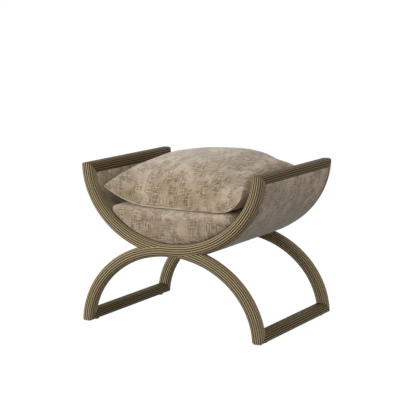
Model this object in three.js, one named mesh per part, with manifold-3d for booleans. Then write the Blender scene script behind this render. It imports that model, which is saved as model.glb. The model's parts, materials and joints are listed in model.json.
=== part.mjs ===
// Vanity stool: two crossed, reeded frames carry an upholstered cradle, a seat cushion and a loose pillow.
// Millimetres, +Z up, the front towards -Y, the origin on the floor under the middle of the stool.

import * as THREE from 'three';
import { mergeVertices } from 'three/addons/utils/BufferGeometryUtils.js';
import Module from 'manifold-3d';

const wasm = await Module();
wasm.setup();

// Driving dimensions of the stool
const feetWidth = 600;
const armsWidth = 592;
const frameDepth = 458;
const overallHeight = 472;
const crossingHeight = 237.5;
const legEllipseDrop = 6;
const armEllipseRise = 2;
const seatHeight = 361;

// Gaps
const contactGap = 0.3;
const cutOverrun = 3;
const mitreShoulder = 3;

// Reeded section of the frames and rails, over the crests of the reeds
const sectionWidth = 36;
const sectionThickness = 32;
const sectionRadius = 11;
const reedCount = 18;
const reedRelief = 1.6;
const reedWall = 3.2;
const boreRadius = 8;
const quarterSteps = 9;
const heightRefinements = 4;

// Scarf joints, each placed where the centre lines of arm and leg have spread this far apart
const reedingToeSpread = 6.2;
const coreToeSpread = 12;
const scarfScrewSpread = 14.4;
const scarfDowelSpread = 22;
const spreadHalvings = 30;

// Dowels
const dowelRadius = 4;
const dowelLength = 28;
const roundSides = 8;

// Screws
const screwShankRadius = 2.2;
const screwHeadRadius = 4.2;
const screwHeadHeight = 3;
const screwTipLength = 4;
const cornerScrewLength = 62;
const scarfScrewBite = 12;
const ribScrewLength = 36;
const ribScrewAngles = [THREE.MathUtils.degToRad(28), THREE.MathUtils.degToRad(62)];

// Floor glides
const glideHeight = 2;
const glideRadius = 10;
const glidePinRadius = 1.4;
const glidePinLength = 8;
const glideInset = 46;
const glideSides = 16;

// Layers of the cradle, from the outside in
const coverProud = 2;
const outerCoverThickness = 3;
const shellThickness = 8;
const paddingThickness = 22;
const innerCoverThickness = 2.5;
const seatRibDepth = 16;

// Seat cushion
const cushionRecess = 4;
const cushionCrown = 5;
const cushionCrownShares = [2 / 3, 1 / 3, 0, -1 / 3, -2 / 3];
const cushionLobeDrop = 34;
const cushionLobeBulge = 3;
const cushionLobeWidth = 33;
const cushionLobeSteps = 4;
const cushionDome = 20;
const cushionDomePower = 6;
const cushionRingShares = [1, 0.985, 0.95, 0.88, 0.74, 0.5, 0.2];
const cushionDepthShares = [-0.85, -0.65, -0.4, 0, 0.4, 0.65, 0.85];
const cushionFall = 30;
const cushionFallReach = 200;
const cushionFallPower = 4;

// Throw pillow
const pillowWallGap = 9;
const pillowRestGap = 0.9;
const pillowSetback = 34;
const pillowSeamDrop = 12;
const pillowSeamDip = 3;
const pillowCornerLift = 40;
const pillowTilt = 7;
const pillowLiftPower = 4;
const pillowCrown = 139;
const pillowLean = 10;
const pillowRise = 40;
const pillowBelly = 30;
const pillowDrawIn = 8;
const pillowEndDrawIn = 2;
const pillowEdgePower = 2.2;
const pillowSwellPower = 0.37;
const pillowColumns = 20;
const pillowRows = 16;

// Finishes
const reedFinish = new THREE.MeshStandardMaterial({ color: 0x867a57, roughness: 0.6 });
const coreFinish = new THREE.MeshStandardMaterial({ color: 0xb08d5e, roughness: 0.75 });
const plywoodFinish = new THREE.MeshStandardMaterial({ color: 0xc6a46e, roughness: 0.7 });
const fabricFinish = new THREE.MeshStandardMaterial({ color: 0xa8957f, roughness: 0.95 });
const paddingFinish = new THREE.MeshStandardMaterial({ color: 0xe8e2cf, roughness: 1 });
const steelFinish = new THREE.MeshStandardMaterial({ color: 0x8a8a88, roughness: 0.4, metalness: 1 });
const nylonFinish = new THREE.MeshStandardMaterial({ color: 0x3a352d, roughness: 0.6 });

// Places that follow from the sizes above
const halfDepth = frameDepth / 2;
const frameCentreY = -halfDepth + sectionThickness / 2;
const stretcherHeight = glideHeight + sectionThickness / 2;
const railHeight = overallHeight - sectionThickness / 2;
const mitreGap = contactGap / Math.SQRT2;
const coreHalfWidth = sectionWidth / 2 - reedWall - contactGap;
const coreHalfThickness = sectionThickness / 2 - reedWall - contactGap;
const cradleHalfDepth = halfDepth - sectionThickness - contactGap;
const cradleTop = overallHeight - sectionThickness - contactGap;

// Closed meshes
function closedGeometry(positions, indices) {
  const raw = new THREE.BufferGeometry();
  raw.setAttribute('position', new THREE.Float32BufferAttribute(positions, 3));
  raw.setIndex(indices);
  return tidy(raw);
}

// Merges shared points, drops triangles without area and turns the faces outward
function tidy(source) {
  const bare = source.clone();
  bare.deleteAttribute('normal');
  bare.deleteAttribute('uv');
  const merged = mergeVertices(bare);
  const index = merged.index.array;
  const at = (i) => new THREE.Vector3().fromBufferAttribute(merged.attributes.position, i);
  const kept = [];
  let volume = 0;
  for (let i = 0; i < index.length; i += 3) {
    const [a, b, c] = [index[i], index[i + 1], index[i + 2]];
    if (a === b || b === c || c === a) continue;
    volume += at(a).dot(at(b).cross(at(c)));
    kept.push([a, b, c]);
  }
  const faces = volume < 0 ? kept.map(([a, b, c]) => [a, c, b]) : kept;
  merged.setIndex(faces.flat());
  merged.computeVertexNormals();
  return merged;
}

function solid(geometry) {
  const vertProperties = new Float32Array(geometry.attributes.position.array);
  const triVerts = new Uint32Array(geometry.index.array);
  return new wasm.Manifold(new wasm.Mesh({ numProp: 3, vertProperties, triVerts }));
}

function cut(geometry, cutters) {
  let body = solid(geometry);
  for (const cutter of cutters) body = body.subtract(solid(cutter));
  const mesh = body.getMesh();
  return closedGeometry(Array.from(mesh.vertProperties), Array.from(mesh.triVerts));
}

// Joins rings of points; each ring lists an outer loop, then the loop of a bore where there is one
function loft(rings, outer, bore = []) {
  const count = outer.length + bore.length;
  const indices = [];
  const skin = (first, length) => {
    for (let ring = 0; ring < rings.length - 1; ring++) {
      for (let i = 0; i < length; i++) {
        const a = ring * count + first + i;
        const b = ring * count + first + ((i + 1) % length);
        indices.push(a, b, b + count, a, b + count, a + count);
      }
    }
  };
  skin(0, outer.length);
  skin(outer.length, bore.length);
  const flat = [...outer, ...bore].map(([r, v]) => new THREE.Vector2(r, v));
  const holes = bore.length ? [flat.slice(outer.length)] : [];
  const last = (rings.length - 1) * count;
  for (const face of THREE.ShapeUtils.triangulateShape(flat.slice(0, outer.length), holes)) {
    const clockwise = THREE.ShapeUtils.area(face.map((i) => flat[i])) < 0;
    const [a, b, c] = clockwise ? [face[0], face[2], face[1]] : face;
    indices.push(a, c, b, last + a, last + b, last + c);
  }
  return closedGeometry(rings.flat(2), indices);
}

// Sections: points [r, v], r across the rib in the plane of the frame and v front to back, anticlockwise
function roundedPath(halfWidth, halfThickness, radius) {
  const path = new THREE.Path();
  const [b, a] = [halfWidth - radius, halfThickness - radius];
  path.moveTo(halfWidth, 0);
  path.lineTo(halfWidth, a);
  path.absarc(b, a, radius, 0, Math.PI / 2);
  path.lineTo(-b, halfThickness);
  path.absarc(-b, a, radius, Math.PI / 2, Math.PI);
  path.lineTo(-halfWidth, -a);
  path.absarc(-b, -a, radius, Math.PI, Math.PI * 1.5);
  path.lineTo(b, -halfThickness);
  path.absarc(b, -a, radius, Math.PI * 1.5, Math.PI * 2);
  path.lineTo(halfWidth, 0);
  return path;
}

function reededLoop() {
  const path = roundedPath(sectionWidth / 2, sectionThickness / 2, sectionRadius);
  const points = reedCount * 2;
  return Array.from({ length: points }, (_, i) => {
    const point = path.getPoint(i / points);
    const tangent = path.getTangent((i / points) % 1);
    const depth = i % 2 ? reedRelief : 0;
    return [point.x - tangent.y * depth, point.y + tangent.x * depth];
  });
}

// A rectangle of half sizes b and a, with a flat that cuts c off each corner
function flattedLoop(b, a, c) {
  const right = [[b, c - a], [b, a - c], [b - c, a]];
  const left = [[c - b, a], [-b, a - c], [-b, c - a]];
  return [...right, ...left, [c - b, -a], [b - c, -a]];
}

// The section of the core, grown by a margin for the bore or for cutting a piece that meets it
function coreLoop(margin = 0) {
  return flattedLoop(coreHalfWidth + margin, coreHalfThickness + margin, boreRadius - contactGap);
}

// The outline over the crests, grown by the contact gap, for cutting a piece that butts on the reeds
function envelopeLoop() {
  const [b, a] = [sectionWidth / 2 + contactGap, sectionThickness / 2 + contactGap];
  return flattedLoop(b, a, sectionRadius / 2);
}

const reeds = reededLoop();
const bore = coreLoop(contactGap).reverse();

// Centre lines: upright half ellipses, z = centre + rise * cos(angle) and x = halfSpan * sin(angle)
function ellipse(outsideWidth, centre, endHeight) {
  const rise = crossingHeight - centre;
  const mitreRun = sectionThickness / 2 + mitreShoulder;
  const halfSpan = (outsideWidth - sectionWidth) / 2;
  const curve = { halfSpan, centre, rise, endHeight, lean: Math.sign(rise) };
  return { ...curve, endAngle: angleAtHeight(curve, endHeight + curve.lean * mitreRun) };
}

function angleAtHeight(curve, height) {
  return Math.acos((height - curve.centre) / curve.rise);
}

// A place on a centre line; at() gives the point across it, positive out of the ellipse
function station(curve, side, angle) {
  const x = side * curve.halfSpan * Math.sin(angle);
  const z = curve.centre + curve.rise * Math.cos(angle);
  const [slopeX, slopeZ] = [x / curve.halfSpan ** 2, (z - curve.centre) / curve.rise ** 2];
  const normal = new THREE.Vector2(slopeX, slopeZ).normalize();
  return { x, normal, at: (across) => [x + across * normal.x, z + across * normal.y] };
}

// The point across a centre line that lies at a height
function pointAtHeight(curve, side, across, height) {
  let found = station(curve, side, angleAtHeight(curve, height));
  for (let i = 0; i < heightRefinements; i++) {
    found = station(curve, side, angleAtHeight(curve, height - across * found.normal.y));
  }
  return [found.x + across * found.normal.x, height];
}

const legCurve = ellipse(feetWidth, -legEllipseDrop, stretcherHeight);
const armCurve = ellipse(armsWidth, overallHeight + armEllipseRise, railHeight);

// How far out from the middle the centre lines of arm and leg have spread apart by a distance
function reachAtSpread(spread) {
  const heightAt = (curve, x) => curve.centre + curve.rise * Math.sqrt(1 - (x / curve.halfSpan) ** 2);
  let [low, high] = [0, Math.min(legCurve.halfSpan, armCurve.halfSpan)];
  for (let i = 0; i < spreadHalvings; i++) {
    const middle = (low + high) / 2;
    if (heightAt(armCurve, middle) - heightAt(legCurve, middle) < spread) low = middle;
    else high = middle;
  }
  return low;
}

const reedingToe = reachAtSpread(reedingToeSpread);
const coreToe = reachAtSpread(coreToeSpread);

// The end of a rib, cut at 45 degrees for its rail
function mitredStation(curve, side) {
  const height = (v) => curve.endHeight + curve.lean * (v + mitreGap);
  return { x: side * curve.halfSpan, at: (across, v) => pointAtHeight(curve, side, across, height(v)) };
}

function halfRun(curve, side) {
  const step = curve.endAngle / quarterSteps;
  const stations = Array.from({ length: quarterSteps + 1 }, (_, i) => station(curve, side, i * step));
  return [...stations, mitredStation(curve, side)];
}

// A place on the straight run between two stations, at a distance out from the middle
function between(stations, reach) {
  const next = stations.findIndex((s) => Math.abs(s.x) > reach);
  const [a, b] = [stations[next - 1], stations[next]];
  const share = (reach - Math.abs(a.x)) / (Math.abs(b.x) - Math.abs(a.x));
  const mix = (p, q) => THREE.MathUtils.lerp(p, q, share);
  const at = (across, v) => {
    const [p, q] = [a.at(across, v), b.at(across, v)];
    return [mix(p[0], q[0]), mix(p[1], q[1])];
  };
  return { x: mix(a.x, b.x), at };
}

const flipped = (s) => ({ x: s.x, at: (across, v) => s.at(-across, v) });

// The S rib runs up the left leg, through the crossing and up the right arm
const sRun = [...halfRun(legCurve, -1).reverse(), ...halfRun(armCurve, 1).slice(1).map(flipped)];

function shortRun(curve, side, toe) {
  const stations = halfRun(curve, side);
  return [between(stations, toe), ...stations.filter((s) => Math.abs(s.x) > toe)];
}

function sweep(stations, centreY, outer, hole = []) {
  const points = [...outer, ...hole];
  const rings = stations.map((s) => points.map(([r, v]) => {
    const [x, z] = s.at(r, v);
    return [x, centreY + v, z];
  }));
  return loft(rings, outer, hole);
}

// Fasteners: turned solids on +Y, the head at the origin, moved to a place and a direction
function turned(profile, sides, place, direction) {
  const points = profile.map(([r, y]) => new THREE.Vector2(r, y));
  const geometry = new THREE.LatheGeometry(points, sides);
  const turn = new THREE.Quaternion().setFromUnitVectors(new THREE.Vector3(0, 1, 0), direction);
  geometry.applyQuaternion(turn);
  geometry.translate(place.x, place.y, place.z);
  return tidy(geometry);
}

function screw(length, place, direction) {
  const neck = length - screwTipLength;
  const head = [[0, 0], [screwHeadRadius, 0], [screwShankRadius, screwHeadHeight]];
  return turned([...head, [screwShankRadius, neck], [0, length]], roundSides, place, direction);
}

function screwHole(length, place, direction) {
  const [head, shank] = [screwHeadRadius + contactGap, screwShankRadius + contactGap];
  const profile = [[0, -cutOverrun], [head, -cutOverrun], [head, contactGap]];
  const end = [[shank, screwHeadHeight + contactGap], [shank, length], [0, length + contactGap]];
  return turned([...profile, ...end], roundSides, place, direction);
}

function rod(radius, length, sides, place, direction) {
  return turned([[0, 0], [radius, 0], [radius, length], [0, length]], sides, place, direction);
}

// The front frame; the back frame is the same one turned half round
const front = new THREE.Vector3(0, -1, 0);
const inward = new THREE.Vector3(0, 1, 0);
const cornerPlace = (curve, side) => {
  const [x, z] = pointAtHeight(curve, side, 0, curve.endHeight);
  return new THREE.Vector3(x, frameCentreY - coreHalfThickness + contactGap, z);
};

const corners = {
  left_foot: cornerPlace(legCurve, -1),
  right_foot: cornerPlace(legCurve, 1),
  left_arm: cornerPlace(armCurve, -1),
  right_arm: cornerPlace(armCurve, 1),
};
const cornerHole = (name) => screwHole(cornerScrewLength, corners[name], inward);

// A point across the S rib where a short rib is scarfed on, and the direction across
function scarfPoint(curve, side, spread, across) {
  const crossing = station(curve, side, Math.asin(reachAtSpread(spread) / curve.halfSpan));
  const [x, z] = crossing.at(across);
  return {
    place: new THREE.Vector3(x, frameCentreY, z),
    direction: new THREE.Vector3(crossing.normal.x, 0, crossing.normal.y),
  };
}

function scarf(curve, side) {
  const dowelFoot = coreHalfWidth - dowelLength / 2;
  const dowel = scarfPoint(curve, side, scarfDowelSpread, dowelFoot);
  const seat = scarfPoint(curve, side, scarfDowelSpread, dowelFoot - contactGap);
  const seatLength = dowelLength + 2 * contactGap;
  const driven = scarfPoint(curve, side, scarfScrewSpread, contactGap - coreHalfWidth);
  const screwLength = coreHalfWidth * 2 + scarfScrewBite;
  return {
    dowel: rod(dowelRadius, dowelLength, roundSides, dowel.place, dowel.direction),
    screw: screw(screwLength, driven.place, driven.direction),
    holes: [
      rod(dowelRadius + contactGap, seatLength, roundSides, seat.place, seat.direction),
      screwHole(screwLength, driven.place, driven.direction),
    ],
  };
}

const armScarf = scarf(legCurve, -1);
const legScarf = scarf(armCurve, 1);

// Screws from the seat ribs into the frame
const outerFace = sectionWidth / 2 + coverProud;
const shellFace = outerFace - outerCoverThickness - contactGap;
const paddingFace = shellFace - shellThickness - contactGap;
const innerCoverFace = paddingFace - paddingThickness - contactGap;
const seatRibCentre = paddingFace - paddingThickness / 2;
const ribScrewY = -cradleHalfDepth + seatRibDepth - contactGap;

function ribScrewPlace(side, angle) {
  const [x, z] = station(armCurve, side, angle).at(seatRibCentre);
  return new THREE.Vector3(x, ribScrewY, z);
}

const ribPlaces = (side) => ribScrewAngles.map((angle) => ribScrewPlace(side, angle));
const ribHoles = (side) => ribPlaces(side).map((place) => screwHole(ribScrewLength, place, front));

// Cores of the ribs
const armCoreRun = shortRun(armCurve, -1, coreToe);
const legCoreRun = shortRun(legCurve, 1, coreToe);
const sCoreCutter = sweep(sRun, frameCentreY, coreLoop(contactGap));
const sCore = cut(sweep(sRun, frameCentreY, coreLoop()), [
  cornerHole('left_foot'), cornerHole('right_arm'), ...armScarf.holes, ...legScarf.holes, ...ribHoles(1),
]);
const armCore = cut(sweep(armCoreRun, frameCentreY, coreLoop()), [
  sCoreCutter, cornerHole('left_arm'), ...armScarf.holes, ...ribHoles(-1),
]);
const legCore = cut(sweep(legCoreRun, frameCentreY, coreLoop()), [
  sCoreCutter, cornerHole('right_foot'), ...legScarf.holes,
]);

// Reeding of the ribs; the S reeding opens where the short cores lie on the S core
const windowToe = coreToe - 2 * contactGap;
const armWindow = sweep(shortRun(armCurve, -1, windowToe), frameCentreY, coreLoop(contactGap));
const legWindow = sweep(shortRun(legCurve, 1, windowToe), frameCentreY, coreLoop(contactGap));
const sEnvelope = sweep(sRun, frameCentreY, envelopeLoop());
const sReeding = cut(sweep(sRun, frameCentreY, reeds, bore), [armWindow, legWindow, ...ribHoles(1)]);
const armReedingRun = shortRun(armCurve, -1, reedingToe);
const legReedingRun = shortRun(legCurve, 1, reedingToe);
const armReeding = cut(sweep(armReedingRun, frameCentreY, reeds, bore), [sEnvelope, ...ribHoles(-1)]);
const legReeding = cut(sweep(legReedingRun, frameCentreY, reeds, bore), [sEnvelope]);

// Rails and stretchers: the same section run front to back, mitred at both ends
function railGeometry(curve, side, outer, hole = []) {
  const end = frameCentreY + mitreGap;
  const ring = (y, slope) => [...outer, ...hole].map(([r, v]) => {
    const [x, z] = pointAtHeight(curve, side, r, curve.endHeight + v);
    return [x, y + slope * v, z];
  });
  return loft([ring(end, curve.lean), ring(-end, -curve.lean)], outer, hole);
}

const turnedRound = (geometry) => geometry.clone().rotateZ(Math.PI);
const up = new THREE.Vector3(0, 0, 1);
const glideY = halfDepth - glideInset;
const footX = corners.right_foot.x;

function glide(side, end) {
  const disc = glideHeight - contactGap;
  const top = glideHeight + glidePinLength;
  const foot = [[0, 0], [glideRadius, 0], [glideRadius, disc]];
  const pin = [[glidePinRadius, disc], [glidePinRadius, top], [0, top]];
  return turned([...foot, ...pin], glideSides, new THREE.Vector3(side * footX, end * glideY, 0), up);
}

function glideHole(side, end) {
  const length = glideHeight + glidePinLength + contactGap;
  const place = new THREE.Vector3(side * footX, end * glideY, 0);
  return rod(glidePinRadius + contactGap, length, roundSides, place, up);
}

// The screws at the two ends of each rail; at the back the frame is turned, so its left is the rail's right
const railHoles = {
  left_foot: [cornerHole('left_foot'), turnedRound(cornerHole('right_foot'))],
  right_foot: [cornerHole('right_foot'), turnedRound(cornerHole('left_foot'))],
  left_arm: [cornerHole('left_arm'), turnedRound(cornerHole('right_arm'))],
  right_arm: [cornerHole('right_arm'), turnedRound(cornerHole('left_arm'))],
};

// The cradle: layers that follow the arms' centre line, level at the top under the arm rails
function cradleRun() {
  const half = (side) => {
    const stations = halfRun(armCurve, side).slice(0, -1);
    return [...stations, { at: (across) => pointAtHeight(armCurve, side, across, cradleTop) }];
  };
  return [...half(-1).reverse(), ...half(1).slice(1)];
}

const cradle = cradleRun();

function layer(outer, thickness, fromY, toY) {
  const inner = outer - thickness;
  return sweep(cradle, 0, [[outer, fromY], [outer, toY], [inner, toY], [inner, fromY]]);
}

const fullLayer = (outer, thickness) => layer(outer, thickness, -cradleHalfDepth, cradleHalfDepth);

const seatRib = cut(
  layer(paddingFace, paddingThickness, -cradleHalfDepth, -cradleHalfDepth + seatRibDepth),
  [...ribHoles(-1), ...ribHoles(1)],
);
const paddingHalfDepth = cradleHalfDepth - seatRibDepth - contactGap;

// What lies in the cradle keeps clear of the reeds and of the inner cover
const cradleInset = Math.max(sectionWidth / 2, innerCoverThickness - innerCoverFace) + contactGap;
const cushionTopMiddle = seatHeight + cushionCrown;
const cushionMiddle = (crossingHeight + cradleInset + seatHeight) / 2;
const cushionFace = halfDepth - cushionRecess;

// The seat cushion: a D that follows the cradle, lobed at its top corners and domed at the front and back
function cushionOutline() {
  const reach = armCurve.halfSpan * Math.sin(angleAtHeight(armCurve, seatHeight - cushionLobeDrop));
  const wall = (side) => {
    const stations = halfRun(armCurve, side);
    const near = stations.filter((s) => Math.abs(s.x) < reach);
    return [...near, between(stations, reach)].map((s) => new THREE.Vector2(...s.at(-cradleInset)));
  };
  const wallEnd = wall(1).at(-1);
  const topReach = wallEnd.x - cushionLobeWidth;
  const lobe = new THREE.QuadraticBezierCurve(
    wallEnd,
    new THREE.Vector2(wallEnd.x + cushionLobeBulge, seatHeight),
    new THREE.Vector2(topReach, seatHeight),
  ).getPoints(cushionLobeSteps).slice(1);
  const crown = cushionCrownShares.map((share) => {
    return new THREE.Vector2(share * topReach, seatHeight + cushionCrown * (1 - share ** 2));
  });
  const otherLobe = lobe.map((p) => new THREE.Vector2(-p.x, p.y)).reverse();
  return [...wall(-1).reverse(), ...wall(1).slice(1), ...lobe, ...crown, ...otherLobe];
}

// How far the pillow presses the cushion's top down, most in the middle of its front and back edges
function cushionFallAt(x, y) {
  const across = Math.min(1, Math.abs(x) / cushionFallReach);
  return cushionFall * Math.abs(y / cushionFace) ** cushionFallPower * (1 - across ** 2);
}

function seatCushion() {
  const outline = cushionOutline();
  const dome = (share) => cushionDome * (1 - Math.sqrt(1 - share ** cushionDomePower));
  const ring = (share, y) => outline.map((p) => {
    const [x, z] = [p.x * share, cushionMiddle + (p.y - cushionMiddle) * share];
    const height = THREE.MathUtils.clamp((z - cushionMiddle) / (seatHeight - cushionMiddle), 0, 1);
    return [x, y, z - cushionFallAt(x, y) * height ** 2];
  });
  const frontRings = cushionRingShares.map((share) => ring(share, dome(share) - cushionFace)).reverse();
  const middleRings = cushionDepthShares.map((share) => ring(1, share * (cushionFace - cushionDome)));
  const backRings = cushionRingShares.map((share) => ring(share, cushionFace - dome(share)));
  return loft([...frontRings, ...middleRings, ...backRings], outline.map((p) => [p.x, p.y]));
}

// The throw pillow: knife-edged, its corners lifted by the cradle's walls and its belly on the cushion
function throwPillow() {
  const seam = cushionTopMiddle - pillowSeamDrop;
  const [wallReach] = pointAtHeight(armCurve, 1, -cradleInset, seam + pillowCornerLift);
  const halfWidth = wallReach - pillowWallGap;
  const halfLength = halfDepth - pillowSetback;
  const rim = (share) => (1 - Math.abs(share) ** pillowEdgePower) ** pillowSwellPower;
  const heightsAt = (across, along, x, y) => {
    const swell = rim(across) * rim(along);
    const lift = (pillowCornerLift - pillowTilt * across) * Math.abs(across) ** pillowLiftPower;
    const seamHeight = seam + lift - pillowSeamDip * (1 - across ** 2) * along ** 2;
    const floor = cushionTopMiddle + pillowRestGap - cushionFallAt(x, y);
    const bottom = Math.max(floor, seamHeight - pillowBelly * swell);
    const crown = pillowCrown + pillowLean * across + pillowRise * along;
    return { bottom, top: Math.max(bottom, seamHeight + crown * swell) };
  };
  const positions = [];
  const indices = [];
  const surface = (side) => {
    const first = positions.length / 3;
    for (let i = 0; i <= pillowColumns; i++) {
      for (let j = 0; j <= pillowRows; j++) {
        const across = Math.sin((i / pillowColumns - 0.5) * Math.PI);
        const along = Math.sin((j / pillowRows - 0.5) * Math.PI);
        const x = across * (halfWidth - pillowDrawIn * (1 - along ** 2));
        const y = along * (halfLength - pillowEndDrawIn * (1 - across ** 2));
        positions.push(x, y, heightsAt(across, along, x, y)[side]);
      }
    }
    const row = pillowRows + 1;
    for (let i = 0; i < pillowColumns; i++) {
      for (let j = 0; j < pillowRows; j++) {
        const a = first + i * row + j;
        const quad = [a, a + row, a + row + 1, a, a + row + 1, a + 1];
        indices.push(...(side === 'top' ? quad : quad.reverse()));
      }
    }
  };
  surface('top');
  surface('bottom');
  return closedGeometry(positions, indices);
}

// Assembly
const stool = new THREE.Group();

function add(name, geometry, finish, isTurned = false) {
  const mesh = new THREE.Mesh(geometry, finish);
  mesh.name = name;
  if (isTurned) mesh.rotation.z = Math.PI;
  stool.add(mesh);
}

// A piece of the front frame, and the same piece turned half round at the back
function addPair(frontName, backName, geometry, finish) {
  add(frontName, geometry, finish);
  add(backName, geometry, finish, true);
}

addPair('front_s_rib_core', 'back_s_rib_core', sCore, coreFinish);
addPair('front_left_arm_core', 'back_right_arm_core', armCore, coreFinish);
addPair('front_right_leg_core', 'back_left_leg_core', legCore, coreFinish);
addPair('front_s_rib_reeding', 'back_s_rib_reeding', sReeding, reedFinish);
addPair('front_left_arm_reeding', 'back_right_arm_reeding', armReeding, reedFinish);
addPair('front_right_leg_reeding', 'back_left_leg_reeding', legReeding, reedFinish);
addPair('front_left_arm_scarf_dowel', 'back_right_arm_scarf_dowel', armScarf.dowel, coreFinish);
addPair('front_right_leg_scarf_dowel', 'back_left_leg_scarf_dowel', legScarf.dowel, coreFinish);
addPair('front_left_arm_scarf_screw', 'back_right_arm_scarf_screw', armScarf.screw, steelFinish);
addPair('front_right_leg_scarf_screw', 'back_left_leg_scarf_screw', legScarf.screw, steelFinish);

const otherSide = { left: 'right', right: 'left' };
const turnedName = (name) => name.replace(/^(left|right)/, (side) => otherSide[side]);
for (const [name, place] of Object.entries(corners)) {
  const driven = screw(cornerScrewLength, place, inward);
  addPair(`front_${name}_corner_screw`, `back_${turnedName(name)}_corner_screw`, driven, steelFinish);
}

for (const [sideName, side] of [['left', -1], ['right', 1]]) {
  const pins = [glideHole(side, -1), glideHole(side, 1)];
  const footHoles = railHoles[`${sideName}_foot`];
  const stretcherCore = cut(railGeometry(legCurve, side, coreLoop()), [...footHoles, ...pins]);
  add(`${sideName}_stretcher_core`, stretcherCore, coreFinish);
  add(`${sideName}_stretcher_reeding`, cut(railGeometry(legCurve, side, reeds, bore), pins), reedFinish);
  const railCore = cut(railGeometry(armCurve, side, coreLoop()), railHoles[`${sideName}_arm`]);
  add(`${sideName}_arm_rail_core`, railCore, coreFinish);
  add(`${sideName}_arm_rail_reeding`, railGeometry(armCurve, side, reeds, bore), reedFinish);
  add(`front_${sideName}_glide`, glide(side, -1), nylonFinish);
  add(`back_${sideName}_glide`, glide(side, 1), nylonFinish);
}

const padding = layer(paddingFace, paddingThickness, -paddingHalfDepth, paddingHalfDepth);
add('outer_cover', fullLayer(outerFace, outerCoverThickness), fabricFinish);
add('seat_shell', fullLayer(shellFace, shellThickness), plywoodFinish);
addPair('front_seat_rib', 'back_seat_rib', seatRib, plywoodFinish);
add('seat_padding', padding, paddingFinish);
add('inner_cover', fullLayer(innerCoverFace, innerCoverThickness), fabricFinish);

for (const [sideName, side] of [['left', -1], ['right', 1]]) {
  ribPlaces(side).forEach((place, i) => {
    const name = `${sideName}_${['lower', 'upper'][i]}_rib_screw`;
    const driven = screw(ribScrewLength, place, front);
    addPair(`front_${name}`, `back_${turnedName(name)}`, driven, steelFinish);
  });
}

add('seat_cushion', seatCushion(), fabricFinish);
add('throw_pillow', throwPillow(), fabricFinish);

export default stool;
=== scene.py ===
"""Vanity stool: the finished look of a reeded stool with an upholstered cradle and a loose pillow.

Metres, +Z up, the front towards -Y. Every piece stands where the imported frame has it.
"""

import json
from math import asin, ceil, copysign, cos, hypot, pi, radians, sqrt

import bmesh
import bpy
import numpy as np
from mathutils import Matrix, Vector, noise


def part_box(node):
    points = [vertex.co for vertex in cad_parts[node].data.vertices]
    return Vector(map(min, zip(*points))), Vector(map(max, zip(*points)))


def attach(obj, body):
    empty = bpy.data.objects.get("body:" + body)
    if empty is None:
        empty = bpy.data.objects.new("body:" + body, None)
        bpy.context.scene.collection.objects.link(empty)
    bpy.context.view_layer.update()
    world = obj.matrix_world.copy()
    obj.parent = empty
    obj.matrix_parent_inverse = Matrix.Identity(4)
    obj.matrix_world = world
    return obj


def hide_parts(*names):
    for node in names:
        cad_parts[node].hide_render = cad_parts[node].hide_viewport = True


bl_info = {
    "name": "Reeded vanity stool",
    "version": (1, 0, 0),
    "blender": (4, 5, 0),
    "location": "3D View > Sidebar > Vanity stool",
    "description": "Builds the reeding, upholstery, seat cushion and throw pillow of a vanity stool",
    "category": "Add Mesh",
}

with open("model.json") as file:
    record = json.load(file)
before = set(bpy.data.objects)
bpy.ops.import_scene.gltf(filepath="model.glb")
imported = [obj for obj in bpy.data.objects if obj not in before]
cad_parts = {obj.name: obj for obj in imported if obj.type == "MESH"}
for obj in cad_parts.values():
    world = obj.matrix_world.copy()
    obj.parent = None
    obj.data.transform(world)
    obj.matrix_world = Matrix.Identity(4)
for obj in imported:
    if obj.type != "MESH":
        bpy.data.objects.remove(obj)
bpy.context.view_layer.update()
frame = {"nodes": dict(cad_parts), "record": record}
MM = 0.001

STOOL = "stool"
PILLOW = "pillow"

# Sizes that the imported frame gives
stretcher_low, stretcher_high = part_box("left_stretcher_reeding")
rail_low, rail_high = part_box("right_arm_rail_reeding")
cover_low, cover_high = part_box("outer_cover")
SECTION_THICKNESS = rail_high.z - rail_low.z
HALF_DEPTH = rail_high.y
OVERALL_HEIGHT = rail_high.z
STRETCHER_HEIGHT = (stretcher_low.z + stretcher_high.z) / 2
RAIL_HEIGHT = (rail_low.z + rail_high.z) / 2
CRADLE_HALF_DEPTH = cover_high.y
CRADLE_TOP = cover_high.z


# Property helpers
def amount(name, description, default, **kind):
    return bpy.props.FloatProperty(name=name, description=description, default=default, **kind)


def length(name, description, millimetres):
    return amount(name, description, millimetres * MM, unit="LENGTH", precision=4)


def angle(name, description, degrees):
    return amount(name, description, radians(degrees), subtype="ANGLE")


def count(name, description, default):
    return bpy.props.IntProperty(name=name, description=description, default=default, min=1)


def linear(hex_colour):
    """The linear colour of an sRGB hex value."""
    parts = [int(hex_colour[i:i + 2], 16) / 255 for i in (1, 3, 5)]
    return [p / 12.92 if p <= 0.04045 else ((p + 0.055) / 1.055) ** 2.4 for p in parts]


def colour(name, description, hex_colour):
    return bpy.props.FloatVectorProperty(
        name=name, description=description, default=linear(hex_colour), subtype="COLOR", min=0, max=1
    )


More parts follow.
